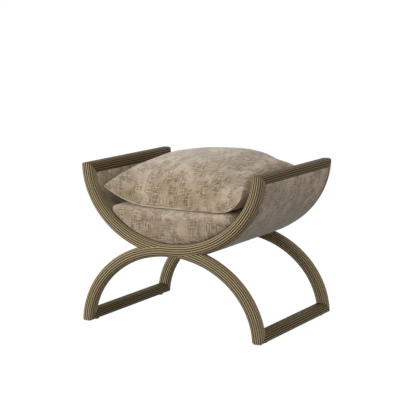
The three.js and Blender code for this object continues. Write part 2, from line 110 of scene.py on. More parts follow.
# Sizes and colours that a user would change
class ReedingSizes(bpy.types.PropertyGroup):
    """The reeded ribs, rails and stretchers."""

    feet_width: length("Feet width", "Outside width over the two feet", 600)
    arms_width: length("Arms width", "Outside width over the two arms", 592)
    crossing_height: length("Crossing height", "Height at which the ribs' centre lines cross", 237.5)
    leg_drop: length("Leg ellipse drop", "Floor down to the centre of the legs", 6)
    arm_rise: length("Arm ellipse rise", "Rails' top up to the centre of the arms", 2)
    section_width: length("Section width", "Width of a rib in the plane of its frame", 36)
    section_radius: length("Section radius", "Radius of the section's corners", 11)
    wall: length("Wall", "Thickness of the reeding round the core", 3.2)
    reeds: count("Reeds", "Reeds round the section", 18)
    relief: length("Relief", "Depth of the grooves", 2.2)
    mitre_ease: length("Mitre ease", "Easing of the edges at the mitres", 0.7)
    toe_reach: length("Toe reach", "Middle out to where short ribs dive", 20)
    toe_run: length("Toe run", "Distance over which short ribs dive", 40)
    toe_sink: length("Toe sink", "Depth to which short ribs dive", 1.2)
    joint_gap: length("Joint gap", "Gap at the mitres", 0.3)
    crest_colour: colour("Crest colour", "Rubbed gold-brown glaze on the ribs", "#b5a27e")
    groove_colour: colour("Groove colour", "Dark glaze in the ribs' grooves", "#2b2114")
    # The rails' and stretchers' colours are the ribs' gilt finish darkened as painted shade, for faces that
    # turn away from the key lamp
    rail_shaded_crest_colour: colour("Rail crest colour", "Darker glaze on the rails", "#716040")
    rail_shaded_groove_colour: colour("Rail groove colour", "Dark glaze in the rails' grooves", "#382e1b")


class UpholsterySizes(bpy.types.PropertyGroup):
    """The cradle's covers, the seat cushion and the throw pillow."""

    outer_face: length("Outer face", "Arms' centre line out to the outer cover's face", 20)
    outer_thickness: length("Outer cover", "Thickness of the outer cover", 3)
    inner_face: length("Inner face", "Arms' centre line in to the inner cover's face", 16.4)
    inner_thickness: length("Inner cover", "Thickness of the inner cover", 2.5)
    edge_roll: length("Edge roll", "Width of the covers' rolled edges", 7)
    cover_swell: length("Cover swell", "Unevenness of the covers' wadding", 0.7)
    cushion_inset: length("Cushion inset", "Arms' centre line in to the cushion", 18.3)
    seat_height: length("Seat height", "Height of the cushion's edges", 361)
    seat_crown: length("Seat crown", "Rise of the cushion's top at its middle", 5)
    cushion_recess: length("Cushion recess", "Frame's front back to the cushion's face", 4)
    cushion_dome: length("Cushion dome", "Doming of the cushion's front and back", 18)
    cushion_fall: length("Cushion fall", "How far the pillow presses the cushion's edges down", 30)
    lobe_drop: length("Lobe drop", "Seat height down to the top lobes' start", 38)
    lobe_bulge: length("Lobe bulge", "Bulge of the cushion's top lobes", 3)
    lobe_width: length("Lobe width", "Width of the cushion's top lobes", 50)
    pillow_gap: length("Pillow gap", "Pillow's corners out to the walls", 21)
    pillow_setback: length("Pillow setback", "Frame's front back to the pillow's corners", 13)
    pillow_drop: length("Seam drop", "Cushion's top down to the pillow's seams", 9)
    pillow_dip: length("Seam dip", "Dip of the front and back seams", 3)
    pillow_lift: length("Corner lift", "Rise of the corners at the walls", 48)
    pillow_back_drop: length("Back drop", "How much lower the back left corner is", 14)
    pillow_crown: length("Pillow crown", "Pillow's seams up to its top", 134)
    pillow_lean: length("Pillow lean", "Rise of the crown to the right", 10)
    pillow_rise: length("Pillow rise", "Rise of the crown to the back", 29.5)
    pillow_belly: length("Pillow belly", "Pillow's seams down to its underside", 14)
    pillow_sag: length("Pillow sag", "How much deeper the underside is at the right", 70)
    pillow_left_draw: length("Drawn-in left side", "How far the left side is drawn in", 10)
    pillow_right_draw: length("Drawn-in right side", "How far the right side is drawn in", 17)
    pillow_edge_draw: length("Drawn-in edges", "How far the front and back edges are drawn in", 19)
    pile_colour: colour("Pile colour", "Beige chenille pile", "#cdb99f")
    # Pile that lies the other way is real; its darker look there is a painted sheen
    shade_colour: colour("Shade colour", "Pile that lies the other way", "#a89376")
    slub_colour: colour("Slub colour", "Gold-brown slubs", "#77603c")
    crest_pile: colour("Light pile", "Pile that catches the light", "#d8c6ad")


class StageSettings(bpy.types.PropertyGroup):
    """The camera, the floor and the lights."""

    azimuth: angle("Azimuth", "Camera's turn from the front towards the right", 29.315)
    elevation: angle("Elevation", "Camera's angle over the horizon", 10.399)
    roll: angle("Roll", "Camera's lean", 0.11)
    distance: length("Distance", "Camera to the point that it turns about", 4090.3)
    target_height: length("Target height", "Height of the point that the camera turns about", 258.4)
    focal_pixels: amount("Focal length", "In pixels of the photograph", 1380.8, subtype="PIXEL")
    centre_x_pixels: amount("Optical centre x", "In pixels of the photograph", 208.135, subtype="PIXEL")
    centre_y_pixels: amount("Optical centre y", "In pixels of the photograph", 231.666, subtype="PIXEL")
    floor_size: length("Floor size", "Side of the floor", 300_000)
    key_power: amount("Key power", "Power of the large lamp at the front left", 102, unit="POWER")
    fill_power: amount("Fill power", "Power of the lamp at the right", 20, unit="POWER")
    ambient: amount("Ambient", "Strength of the world's light", 0.57)
    white_share: amount("White share", "Plain white in the floor that is seen", 0.9, subtype="FACTOR")
    white_strength: amount("White strength", "Strength of that plain white", 1.11)


def reed_sizes():
    return bpy.context.scene.reeding


def cloth_sizes():
    return bpy.context.scene.upholstery


# Meshes; the creases are in degrees
WELD_DISTANCE = 0.002 * MM
PLAIN_CREASE = 40
SEWN_CREASE = 80
NO_CREASE = 180


def add_object(name, data):
    made = bpy.data.objects.new(name, data)
    bpy.context.scene.collection.objects.link(made)
    return made


def weld(name, parts, crease_degrees=PLAIN_CREASE):
    """A mesh object welded from parts, each with points, faces and the UVs of each face's corners."""
    work = bmesh.new()
    layer = work.loops.layers.uv.new("weave")
    for points, faces, corners in parts:
        verts = [work.verts.new(p) for p in points]
        for face, uvs in zip(faces, corners):
            made = work.faces.new([verts[i] for i in face])
            for loop, uv in zip(made.loops, uvs):
                loop[layer].uv = uv
    bmesh.ops.remove_doubles(work, verts=work.verts, dist=WELD_DISTANCE)
    bmesh.ops.recalc_face_normals(work, faces=work.faces)
    mesh = bpy.data.meshes.new(name)
    work.to_mesh(mesh)
    work.free()
    piece = add_object(name, mesh)
    soften(piece, crease_degrees)
    return piece


def soften(piece, crease_degrees=PLAIN_CREASE):
    piece.data.shade_smooth()
    piece.data.set_sharp_from_angle(angle=radians(crease_degrees))


def grid(points, uvs, wrapped=False):
    """Quads over points [row, column, 3] with UVs [row, column, 2]; wrapped, these have one column more."""
    rows, columns = points.shape[:2]
    faces, corners = [], []
    for i in range(rows - 1):
        for j in range(columns if wrapped else columns - 1):
            k = (j + 1) % columns
            faces.append([i * columns + j, i * columns + k, (i + 1) * columns + k, (i + 1) * columns + j])
            corners.append([uvs[i, j], uvs[i, j + 1], uvs[i + 1, j + 1], uvs[i + 1, j]])
    return points.reshape(-1, 3), faces, corners


def dress(piece, material, body, node):
    """Gives a piece its material and its body, and hides the CAD node that it stands for."""
    if not piece.data.polygons:
        raise RuntimeError(f"{piece.name} came out without faces")
    piece.data.materials.clear()
    piece.data.materials.append(material)
    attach(piece, body)
    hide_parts(node)


def lengths_along(points, axis=0):
    """How far along its line each point of a line, or of a grid of lines, lies."""
    steps = np.linalg.norm(np.diff(points, axis=axis), axis=-1)
    return np.insert(np.cumsum(steps, axis=axis), 0, 0, axis=axis)


def turned_round(piece, name):
    """A copy turned half round the stool's upright axis: the back frame is the front one turned."""
    mesh = piece.data.copy()
    mesh.name = name
    mesh.transform(Matrix.Rotation(pi, 4, "Z"))
    return add_object(name, mesh)


def applied(piece, modifier):
    """The mesh that a modifier makes of a piece; the modifier is taken off again."""
    evaluated = piece.evaluated_get(bpy.context.evaluated_depsgraph_get())
    mesh = bpy.data.meshes.new_from_object(evaluated)
    piece.modifiers.remove(modifier)
    return mesh


# Centre lines of the ribs
MITRE_SHOULDER = 3 * MM
HEIGHT_REFINEMENTS = 5


class HalfEllipse:
    """The centre line of the legs or the arms; across is positive out of the ellipse."""

    def __init__(self, outside_width, centre, end_height):
        sizes = reed_sizes()
        self.half_span = (outside_width - sizes.section_width) / 2
        self.centre = centre
        self.rise = sizes.crossing_height - centre
        self.end_height = end_height
        self.lean = copysign(1, self.rise)
        self.shoulder = end_height + self.lean * (SECTION_THICKNESS / 2 + MITRE_SHOULDER)

    def angle_at(self, height):
        return np.arccos((height - self.centre) / self.rise)

    def normal(self, side, turn):
        x = side * np.sin(turn) / self.half_span
        z = np.cos(turn) / self.rise
        size = np.hypot(x, z)
        return x / size, z / size

    def at(self, side, turn, across):
        nx, nz = self.normal(side, turn)
        x = side * self.half_span * np.sin(turn) + across * nx
        return x, self.centre + self.rise * np.cos(turn) + across * nz

    def at_height(self, side, across, height):
        turn = self.angle_at(height)
        for _ in range(HEIGHT_REFINEMENTS):
            turn = self.angle_at(height - across * self.normal(side, turn)[1])
        return self.at(side, turn, across)


def leg_curve():
    sizes = reed_sizes()
    return HalfEllipse(sizes.feet_width, -sizes.leg_drop, STRETCHER_HEIGHT)


def arm_curve():
    sizes = reed_sizes()
    return HalfEllipse(sizes.arms_width, OVERALL_HEIGHT + sizes.arm_rise, RAIL_HEIGHT)


# Reeded sections: r lies across the rib in the plane of the frame and v front to back
SAMPLES_PER_REED = 8
QUARTER_STEPS = 40
MITRE_STEPS = 4
TOE_STEPS = 8
CUTTER_POINTS = 96
CUTTER_SINK = 1 * MM


def rounded_loop(half_width, half_thickness, radius, shares):
    """Points and outward normals of a rounded rectangle, at shares of the way round from its +r side."""
    b, a = half_width - radius, half_thickness - radius
    arc = radius * pi / 2
    reach = np.cumsum([0, a, arc, 2 * b, arc, 2 * a, arc, 2 * b, arc, a])
    way = (np.asarray(shares) % 1) * reach[-1]
    turn = np.interp(way, reach, np.radians([0, 0, 90, 90, 180, 180, 270, 270, 360, 360]))
    normals = np.stack([np.cos(turn), np.sin(turn)], axis=-1)
    centre_r = np.interp(way, reach, [b, b, b, -b, -b, -b, -b, b, b, b])
    centre_v = np.interp(way, reach, [0, a, a, a, a, -a, -a, -a, -a, 0])
    return np.stack([centre_r, centre_v], axis=-1) + radius * normals, normals


def reeded_loop(inset):
    """The outline over the reeds, each one an arc between two grooves, starting in a groove."""
    sizes = reed_sizes()
    points = sizes.reeds * SAMPLES_PER_REED
    place = np.arange(points) / SAMPLES_PER_REED
    shares = (place - 0.5) / sizes.reeds
    half_width, half_thickness = sizes.section_width / 2, SECTION_THICKNESS / 2
    outline, normals = rounded_loop(half_width, half_thickness, sizes.section_radius, shares)
    perimeter = 4 * (half_width + half_thickness) - (8 - 2 * pi) * sizes.section_radius
    half_pitch = perimeter / sizes.reeds / 2
    radius = (half_pitch ** 2 + sizes.relief ** 2) / (2 * sizes.relief)
    from_crest = (place % 1 - 0.5) * 2 * half_pitch
    depth = radius - np.sqrt(radius ** 2 - from_crest ** 2)
    return outline - normals * (depth + inset)[:, None]


def bore_loop():
    """The inside of the reeding: one point behind each groove."""
    sizes = reed_sizes()
    shares = (np.arange(sizes.reeds) - 0.5) / sizes.reeds
    half_width = sizes.section_width / 2 - sizes.wall
    half_thickness = SECTION_THICKNESS / 2 - sizes.wall
    return rounded_loop(half_width, half_thickness, sizes.section_radius - sizes.wall, shares)[0]


def square_ring(curve, side, turn, flip=1, sink=0.0):
    """A section square to a centre line."""
    return lambda r, v: curve.at(side, turn, flip * r + sink)


def mitre_ring(curve, side, share, flip=1, ease=0.0):
    """A section between the last square one, at share 0, and the 45 degree mitre, at share 1."""
    gap = reed_sizes().joint_gap / sqrt(2)

    def place(r, v):
        mitre = curve.end_height + curve.lean * (v + gap + ease)
        return curve.at_height(side, flip * r, curve.shoulder + share * (mitre - curve.shoulder))

    return place


def half_run(curve, side, flip=1, start=0.0):
    """Rings from the crossing, or from a start angle, out to the mitre, each with how far it is inset."""
    ease = reed_sizes().mitre_ease
    end = curve.angle_at(curve.shoulder)
    steps = ceil(QUARTER_STEPS * (end - start) / end)
    rings = [(square_ring(curve, side, start + (end - start) * i / steps, flip), 0.0) for i in range(steps)]
    rings += [(mitre_ring(curve, side, i / MITRE_STEPS, flip), 0.0) for i in range(MITRE_STEPS)]
    rings.append((mitre_ring(curve, side, 1, flip, ease), 0.0))
    rings.append((mitre_ring(curve, side, 1, flip), ease))
    return rings


def ring_points(rings, centre_y, loops):
    """Points [ring, point, 3] of a loop swept along rings; loops holds the loop for each ring."""
    rows = []
    for (place, _), loop in zip(rings, loops):
        r, v = loop[:, 0], loop[:, 1]
        x, z = place(r, v)
        rows.append(np.stack([x + 0 * v, centre_y + v, z + 0 * v], axis=-1))
    return np.array(rows)


def sleeve_parts(outer, bore, run, reeds):
    """A hollow sleeve: reeded skin, bore and one end face for each reed; UV is (reed, metres along)."""
    skin_u = np.arange(outer.shape[1] + 1) / SAMPLES_PER_REED
    bore_u = np.arange(reeds + 1) + 0.0
    skin_uv = np.stack(np.meshgrid(skin_u, run), axis=-1)
    bore_uv = np.stack(np.meshgrid(bore_u, run), axis=-1)
    parts = [grid(outer, skin_uv, wrapped=True), grid(bore, bore_uv, wrapped=True)]
    for end in (0, -1):
        ring = np.concatenate([outer[end], bore[end]])
        faces, corners = [], []
        for reed in range(reeds):
            first = reed * SAMPLES_PER_REED
            edge = [(first + i) % outer.shape[1] for i in range(SAMPLES_PER_REED + 1)]
            inner = [outer.shape[1] + (reed + 1) % reeds, outer.shape[1] + reed]
            faces.append(edge + inner)
            corners.append([(float(reed), run[end])] * len(faces[-1]))
        parts.append((ring, faces, corners))
    return parts


def reeded_run(name, rings, centre_y):
    """The reeding of one rib, along rings."""
    sizes = reed_sizes()
    outer = ring_points(rings, centre_y, [reeded_loop(inset) for _, inset in rings])
    bore = ring_points(rings, centre_y, [bore_loop()] * len(rings))
    middle = [np.ravel(place(np.zeros(1), np.zeros(1))) for place, _ in rings]
    return weld(name, sleeve_parts(outer, bore, lengths_along(middle), sizes.reeds))


def s_run():
    """The S rib: up the left leg, through the crossing and up the right arm."""
    return half_run(leg_curve(), -1)[::-1] + half_run(arm_curve(), 1, flip=-1)[1:]


def short_run(curve, side):
    """A short rib: it dives into the S rib at its toe, where its top reed dies out."""
    sizes = reed_sizes()
    dive_end = sizes.toe_reach + sizes.toe_run
    rings = []
    for i in range(TOE_STEPS):
        share = i / TOE_STEPS
        reach = sizes.toe_reach + sizes.toe_run * share
        sink = sizes.toe_sink * (1 + cos(pi * share)) / 2
        turn = asin(reach / curve.half_span)
        rings.append((square_ring(curve, side, turn, sink=sink), 0.0))
    return rings + half_run(curve, side, start=asin(dive_end / curve.half_span))


def s_cutter(centre_y):
    """A plain rib in the place of the S rib, for cutting what dives into it."""
    sizes = reed_sizes()
    rings = [(place, 0.0) for place, _ in s_run()]
    shares = np.arange(CUTTER_POINTS) / CUTTER_POINTS
    half_width = sizes.section_width / 2 - CUTTER_SINK
    half_thickness = SECTION_THICKNESS / 2 + CUTTER_SINK
    loop = rounded_loop(half_width, half_thickness, sizes.section_radius, shares)[0]
    points = ring_points(rings, centre_y, [loop] * len(rings))
    uvs = np.zeros((len(rings), CUTTER_POINTS + 1, 2))
    caps = [(points[end], [list(range(CUTTER_POINTS))], [[(0.0, 0.0)] * CUTTER_POINTS]) for end in (0, -1)]
    return weld("s_cutter", [grid(points, uvs, wrapped=True), *caps])


def cut(piece, cutter):
    """Cuts a piece's mesh by another closed mesh."""
    modifier = piece.modifiers.new("cut", "BOOLEAN")
    modifier.operation = "DIFFERENCE"
    modifier.solver = "EXACT"
    modifier.object = cutter
    piece.data = applied(piece, modifier)
    soften(piece)


class STOOL_OT_reeded_ribs(bpy.types.Operator):
    """Build the reeding of the two crossed frames"""

    bl_idname = "stool.reeded_ribs"
    bl_label = "Reeded ribs"

    def execute(self, context):
        centre_y = SECTION_THICKNESS / 2 - HALF_DEPTH
        colours = context.scene.reeding
        finish = reed_finish("antiqued_gilt_wood", colours.crest_colour, colours.groove_colour)
        cutter = s_cutter(centre_y)
        ribs = [
            ("front_s", "back_s", "_rib", s_run()),
            ("front_left_arm", "back_right_arm", "", short_run(arm_curve(), -1)),
            ("front_right_leg", "back_left_leg", "", short_run(leg_curve(), 1)),
        ]
        for front_name, back_name, suffix, rings in ribs:
            front = reeded_run(f"{front_name}_reeds", rings, centre_y)
            if front_name != "front_s":
                cut(front, cutter)
            back = turned_round(front, f"{back_name}_reeds")
            dress(front, finish, STOOL, f"{front_name}{suffix}_reeding")
            dress(back, finish, STOOL, f"{back_name}{suffix}_reeding")
        bpy.data.objects.remove(cutter)
        return {"FINISHED"}


class STOOL_OT_reeded_rails(bpy.types.Operator):
    """Build the reeding of the arm rails and of the floor stretchers"""

    bl_idname = "stool.reeded_rails"
    bl_label = "Reeded rails"

    def execute(self, context):
        colours = context.scene.reeding
        # Painted shade: the rails and stretchers get a darker copy of the ribs' gilt finish
        finish = reed_finish("shaded_gilt_wood", colours.rail_shaded_crest_colour, colours.rail_shaded_groove_colour)
        rails = [("stretcher", leg_curve()), ("arm_rail", arm_curve())]
        for kind, curve in rails:
            for side_name, side in (("left", -1), ("right", 1)):
                piece = reeded_rail(f"{side_name}_{kind}_reeds", curve, side)
                dress(piece, finish, STOOL, f"{side_name}_{kind}_reeding")
        return {"FINISHED"}


def reeded_rail(name, curve, side):
    """A straight rail from mitre to mitre."""
    sizes = reed_sizes()
    end = HALF_DEPTH - SECTION_THICKNESS / 2 - sizes.joint_gap / sqrt(2)
    ends = [(-end, 1, sizes.mitre_ease), (-end + sizes.mitre_ease, 1, 0.0)]
    ends += [(-y, -slope, inset) for y, slope, inset in reversed(ends)]

    def ring(loop, y, slope):
        r, v = loop[:, 0], loop[:, 1]
        x, z = curve.at_height(side, r, curve.end_height + v)
        return np.stack([x, y + slope * curve.lean * v, z], axis=-1)

    outer = np.array([ring(reeded_loop(inset), y, slope) for y, slope, inset in ends])
    bore = np.array([ring(bore_loop(), y, slope) for y, slope, _ in ends])
    return weld(name, sleeve_parts(outer, bore, [y for y, _, _ in ends], sizes.reeds))


# Covers of the cradle
COVER_TOP_RUN = 24 * MM
COVER_EDGE_SHARES = (0, 0.05, 0.18, 0.4, 0.7, 1)
COVER_STEPS = 56
COVER_COLUMNS = 40
SWELL_SPACING = 55 * MM
COVER_TUCK_LEVEL = 10 * MM
COVER_ROLL_DEPTH = 2.4 * MM
COVER_CLEARANCE = 0.4 * MM
COVER_FLUSH = 0.05 * MM

# How far in the flat part of a cover starts, in widths of its rolled edge
COVER_FLAT_START = 1.4
COVER_FLAT_SECOND = 2


def edge_limit(level):
    """How far past the shell's edge a cover may reach, clear of the ribs' and rails' rounded corners."""
    sizes = reed_sizes()
    clear = sizes.section_radius + COVER_CLEARANCE
    over = np.clip(level - (sizes.section_width / 2 - sizes.section_radius), 0, clear)
    return sizes.joint_gap + sizes.section_radius - sqrt(clear ** 2 - over ** 2)


def cover_edge(face, thickness):
    """Entries from the edge in: reach past the shell's edge and least depth, of both sides of a cover."""
    roll = cloth_sizes().edge_roll
    tuck = abs(face) - COVER_TUCK_LEVEL
    last = edge_limit(abs(face) - COVER_ROLL_DEPTH)
    edge = [(last, tuck, last, tuck)]
    for share, hidden in ((0.75, tuck), (0.5, (tuck + thickness) / 2), (0.25, thickness)):
        edge.append((last, COVER_ROLL_DEPTH + (tuck - COVER_ROLL_DEPTH) * share, COVER_FLUSH, hidden))
    for share in COVER_EDGE_SHARES:
        edge.append((last - share * roll, 0.0, -COVER_FLUSH - share * roll, thickness))
    return edge


def cover_rows(curve, edge, roll, thickness):
    """Rows round the cradle from the left rail to the right: each is a side, an edge entry and a place."""
    start = curve.angle_at(CRADLE_TOP - COVER_TOP_RUN)
    half = []
    for i in range(COVER_STEPS):
        entry = (-COVER_TOP_RUN, 0.0, -COVER_TOP_RUN, thickness)
        half.append((entry, lambda side, past, across, t=start * i / COVER_STEPS: curve.at(side, t, across)))
    inner = [(-d * roll, 0.0, -d * roll, thickness) for d in (COVER_FLAT_START, COVER_FLAT_SECOND)]
    for entry in reversed(edge + inner):
        half.append((entry, lambda side, past, across: curve.at_height(side, across, CRADLE_TOP + past)))
    left = [(-1, *row) for row in reversed(half)]
    return left + [(1, *row) for row in half[1:]]


def cover_columns(edge, roll, thickness):
    """Columns from front to back: each is a side and an edge entry."""
    inner = CRADLE_HALF_DEPTH - COVER_FLAT_START * roll
    flat = []
    for y in np.linspace(-inner, inner, COVER_COLUMNS):
        past = abs(y) - CRADLE_HALF_DEPTH
        flat.append((copysign(1, y), (past, 0.0, past, thickness)))
    return [(-1, entry) for entry in edge] + flat + [(1, entry) for entry in reversed(edge)]


def cover(name, face, thickness, seed):
    """A layer of covered wadding along the arms, its edges rolled and tucked in, that shows at face."""
    sizes = cloth_sizes()
    roll = sizes.edge_roll
    inwards = copysign(1, face)
    edge = cover_edge(face, thickness)
    last = edge[0][0]
    sheets = [], []
    for side, row, place in cover_rows(arm_curve(), edge, roll, thickness):
        lines = [], []
        for end, column in cover_columns(edge, roll, thickness):
            rolled = [max(0.0, 1 - (last - past) / roll) for past in (row[0], column[0])]
            near = min(1.0, hypot(*rolled))
            x, z = place(side, row[0], face)
            swell = noise.noise(Vector((x, column[0], z + seed)) / SWELL_SPACING) * sizes.cover_swell
            depth = COVER_ROLL_DEPTH * (1 - sqrt(1 - near ** 2)) - swell * (1 - near)
            depths = max(depth, row[1], column[1]), max(row[3], column[3])
            for i, depth in enumerate(depths):
                limit = edge_limit(abs(face) - depth)
                x, z = place(side, min(row[2 * i], limit), face - inwards * depth)
                y = end * (CRADLE_HALF_DEPTH + min(column[2 * i], limit))
                lines[i].append((x, y, z))
        for sheet, line in zip(sheets, lines):
            sheet.append(line)
    return weld(name, [grid(sheet, cover_cloth(sheet)) for sheet in map(np.array, sheets)])


def cover_cloth(points):
    """Where each point of a cover lies on its flat cloth, by the lengths along the middle row and column."""
    width = lengths_along(points[len(points) // 2])
    run = lengths_along(points[:, points.shape[1] // 2])
    return np.stack(np.meshgrid(width - width[-1] / 2, run - run[-1] / 2), axis=-1)


class STOOL_OT_cradle_covers(bpy.types.Operator):
    """Build the fabric covers outside and inside the cradle"""

    bl_idname = "stool.cradle_covers"
    bl_label = "Cradle covers"

    def execute(self, context):
        sizes = context.scene.upholstery
        covers = [
            ("outer_cover", sizes.outer_face, sizes.outer_thickness, "seat_shell"),
            ("inner_cover", -sizes.inner_face, sizes.inner_thickness, "seat_padding"),
        ]
        for seed, (node, face, thickness, backing) in enumerate(covers):
            piece = cover(f"cradle_{node}", face, thickness, seed)
            dress(piece, chenille_finish(), STOOL, node)
        return {"FINISHED"}


# Seat cushion
CUSHION_WALL_STEPS = 46
CUSHION_LOBE_STEPS = 14
CUSHION_TOP_STEPS = 36
CUSHION_DEPTH_STEPS = 26
CUSHION_DOME_POWER = 4
CUSHION_RINGS = 16
CUSHION_FALL_POWER = 4
CUSHION_FALL_REACH = 200 * MM


def cushion_outline():
    """The D of the cushion, [x, z], round from the top left corner's wall."""
    sizes = cloth_sizes()
    curve = arm_curve()
    lobe_start = curve.angle_at(sizes.seat_height - sizes.lobe_drop)
    turns = np.linspace(0, lobe_start, CUSHION_WALL_STEPS + 1)
    right = np.stack(curve.at(1, turns, -sizes.cushion_inset), axis=-1)
    wall_end = right[-1]
    top_reach = wall_end[0] - sizes.lobe_width
    knee = np.array([wall_end[0] + sizes.lobe_bulge, sizes.seat_height])
    top_end = np.array([top_reach, sizes.seat_height])
    t = np.linspace(0, 1, CUSHION_LOBE_STEPS + 1)[1:, None]
    lobe = (1 - t) ** 2 * wall_end + 2 * t * (1 - t) * knee + t ** 2 * top_end
    share = np.linspace(1, -1, CUSHION_TOP_STEPS + 1)[1:-1]
    crown = np.stack([share * top_reach, sizes.seat_height + sizes.seat_crown * (1 - share ** 2)], axis=-1)
    mirror = np.array([-1, 1])
    return np.concatenate([right, lobe, crown, (lobe * mirror)[::-1], (right * mirror)[:0:-1]])


def cushion_fall(x, y):
    """How far the top of the cushion has fallen: most in the middle of its front and back edges."""
    sizes = cloth_sizes()
    face = HALF_DEPTH - sizes.cushion_recess
    across = np.minimum(1, np.abs(x) / CUSHION_FALL_REACH)
    return sizes.cushion_fall * np.abs(y / face) ** CUSHION_FALL_POWER * (1 - across ** 2)


class STOOL_OT_seat_cushion(bpy.types.Operator):
    """Build the D-shaped seat cushion"""

    bl_idname = "stool.seat_cushion"
    bl_label = "Seat cushion"

    def execute(self, context):
        sizes = context.scene.upholstery
        outline = cushion_outline()
        middle = np.array([0, (outline[:, 1].min() + sizes.seat_height) / 2])
        face = HALF_DEPTH - sizes.cushion_recess
        shares = np.sin(np.linspace(0, pi / 2, CUSHION_RINGS + 1)[1:])
        dome = sizes.cushion_dome * (1 - np.sqrt(np.maximum(0, 1 - shares ** CUSHION_DOME_POWER)))
        edge = face - sizes.cushion_dome
        front = [(share, -(face - drop)) for share, drop in zip(shares, dome)]
        between = [(1.0, y) for y in np.linspace(-edge, edge, CUSHION_DEPTH_STEPS + 1)[1:-1]]
        rings = front + between + [(share, -y) for share, y in reversed(front)]
        rows, uvs = [], []
        for share, y in rings:
            flat = middle + (outline - middle) * share
            height = np.clip((flat[:, 1] - middle[1]) / (sizes.seat_height - middle[1]), 0, 1)
            flat[:, 1] -= cushion_fall(flat[:, 0], y) * height ** 2
            rows.append(np.insert(flat, 1, y, axis=1))
            closed = np.concatenate([flat, flat[:1]])
            uvs.append(np.stack([closed[:, 0], closed[:, 1] + y], axis=-1))
        rows = np.array(rows)
        caps = []
        for end in (0, -1):
            loop = rows[end]
            centre = loop.mean(0)
            points = np.concatenate([loop, [centre]])
            n = len(loop)
            faces = [[i, (i + 1) % n, n] for i in range(n)]
            corners = [[(points[i][0], points[i][2] + points[i][1]) for i in f] for f in faces]
            caps.append((points, faces, corners))
        piece = weld("seat_cushion_chenille", [grid(rows, np.array(uvs), wrapped=True), *caps], NO_CREASE)
        dress(piece, chenille_finish(), STOOL, "seat_cushion")
        return {"FINISHED"}


# Throw pillow
PILLOW_EDGE_POWER = 3
PILLOW_SWELL_POWER = 0.44
LEFT_LEVEL_SHARE = 0.37
RIGHT_LEVEL_SHARE = 0.68
PILLOW_COLUMNS = 60
PILLOW_ROWS = 52
PROFILE_STEPS = 600
SEAM_ANGLE = radians(70)

# The two cloths of the pillow lie apart on the UV plane, and on each other in its flat cut
BOTTOM_CUT_OFFSET = 1.0
CLOTH_THICKNESS = 1 * MM

# The simulation, and how far it may move the top, the underside and what lies by the seams
PLUMP_FRAMES = 20
PLUMP_CLOTH = {
    "quality": 6,
    "mass": 0.3,
    "tension_stiffness": 80,
    "compression_stiffness": 40,
    "shear_stiffness": 20,
    "bending_stiffness": 0.4,
    "use_pressure": True,
    "uniform_pressure_force": 0.6,
}
PLUMP_REACH = 4 * MM
PLUMP_BELLY_REACH = 1.5 * MM
PLUMP_SEAM_REACH = 1 * MM
PLUMP_SEAM_WIDTH = 70 * MM


def pillow_reach():
    """Half the pillow's width and length, from corner to corner."""
    sizes = cloth_sizes()
    corner = pillow_seam() + sizes.pillow_lift
    wall, _ = arm_curve().at_height(1, -sizes.cushion_inset, corner)
    return wall - sizes.pillow_gap, HALF_DEPTH - sizes.pillow_setback


def pillow_seam():
    sizes = cloth_sizes()
    return sizes.seat_height + sizes.seat_crown - sizes.pillow_drop


def pillow_shares(parts, reach):
    """Places from -1 to 1, at equal lengths of cloth over the pillow's middle."""
    fine = np.sin(np.linspace(-pi / 2, pi / 2, PROFILE_STEPS + 1))
    lengths = lengths_along(np.stack([fine * reach, rim(fine) * cloth_sizes().pillow_crown], axis=-1))
    return np.interp(np.linspace(0, lengths[-1], parts + 1), lengths, fine)


def rim(share):
    return np.maximum(0, 1 - np.abs(share) ** PILLOW_EDGE_POWER) ** PILLOW_SWELL_POWER


def pillow_floor(x, y):
    """The lowest that the pillow's underside may be, over the cushion."""
    sizes = cloth_sizes()
    top = sizes.seat_height + sizes.seat_crown + reed_sizes().joint_gap
    return top - cushion_fall(x, y)


def pillow_surface(is_top):
    """Points [column, row, 3] of the pillow's upper or lower face."""
    sizes = cloth_sizes()
    half_width, half_length = pillow_reach()
    across = pillow_shares(PILLOW_COLUMNS, half_width)[:, None]
    along = pillow_shares(PILLOW_ROWS, half_length)[None, :]
    swell = rim(across) * rim(along)
    level = np.where(across < 0, LEFT_LEVEL_SHARE, RIGHT_LEVEL_SHARE)
    corner = sizes.pillow_lift - np.where(across < 0, sizes.pillow_back_drop, 0) * (1 + along) / 2
    lift = corner * (np.maximum(0, np.abs(across) - level) / (1 - level)) ** 2
    draw = np.where(across < 0, sizes.pillow_left_draw, sizes.pillow_right_draw)
    x = across * (half_width - draw * (1 - along ** 2))
    y = along * (half_length - sizes.pillow_edge_draw * (1 - across ** 2))
    seam_height = pillow_seam() + lift - sizes.pillow_dip * (1 - across ** 2) * along ** 2
    crown = sizes.pillow_crown + sizes.pillow_lean * across + sizes.pillow_rise * along
    z = np.maximum(pillow_floor(x, y), seam_height + crown * swell)
    if not is_top:
        depth = sizes.pillow_belly + sizes.pillow_sag * np.maximum(0, across) ** 2
        belly = seam_height - depth * swell ** 2
        z = np.minimum(z, np.maximum(pillow_floor(x, y), belly))
    return np.stack([x, y, z], axis=-1)


def flat_cloth(points, width, run):
    """Where each point of one of the pillow's faces lies on its flat rectangle of cloth."""
    across, along = lengths_along(points, 0), lengths_along(points, 1)
    return np.stack([(across / across[-1:] - 0.5) * width, (along / along[:, -1:] - 0.5) * run], axis=-1)


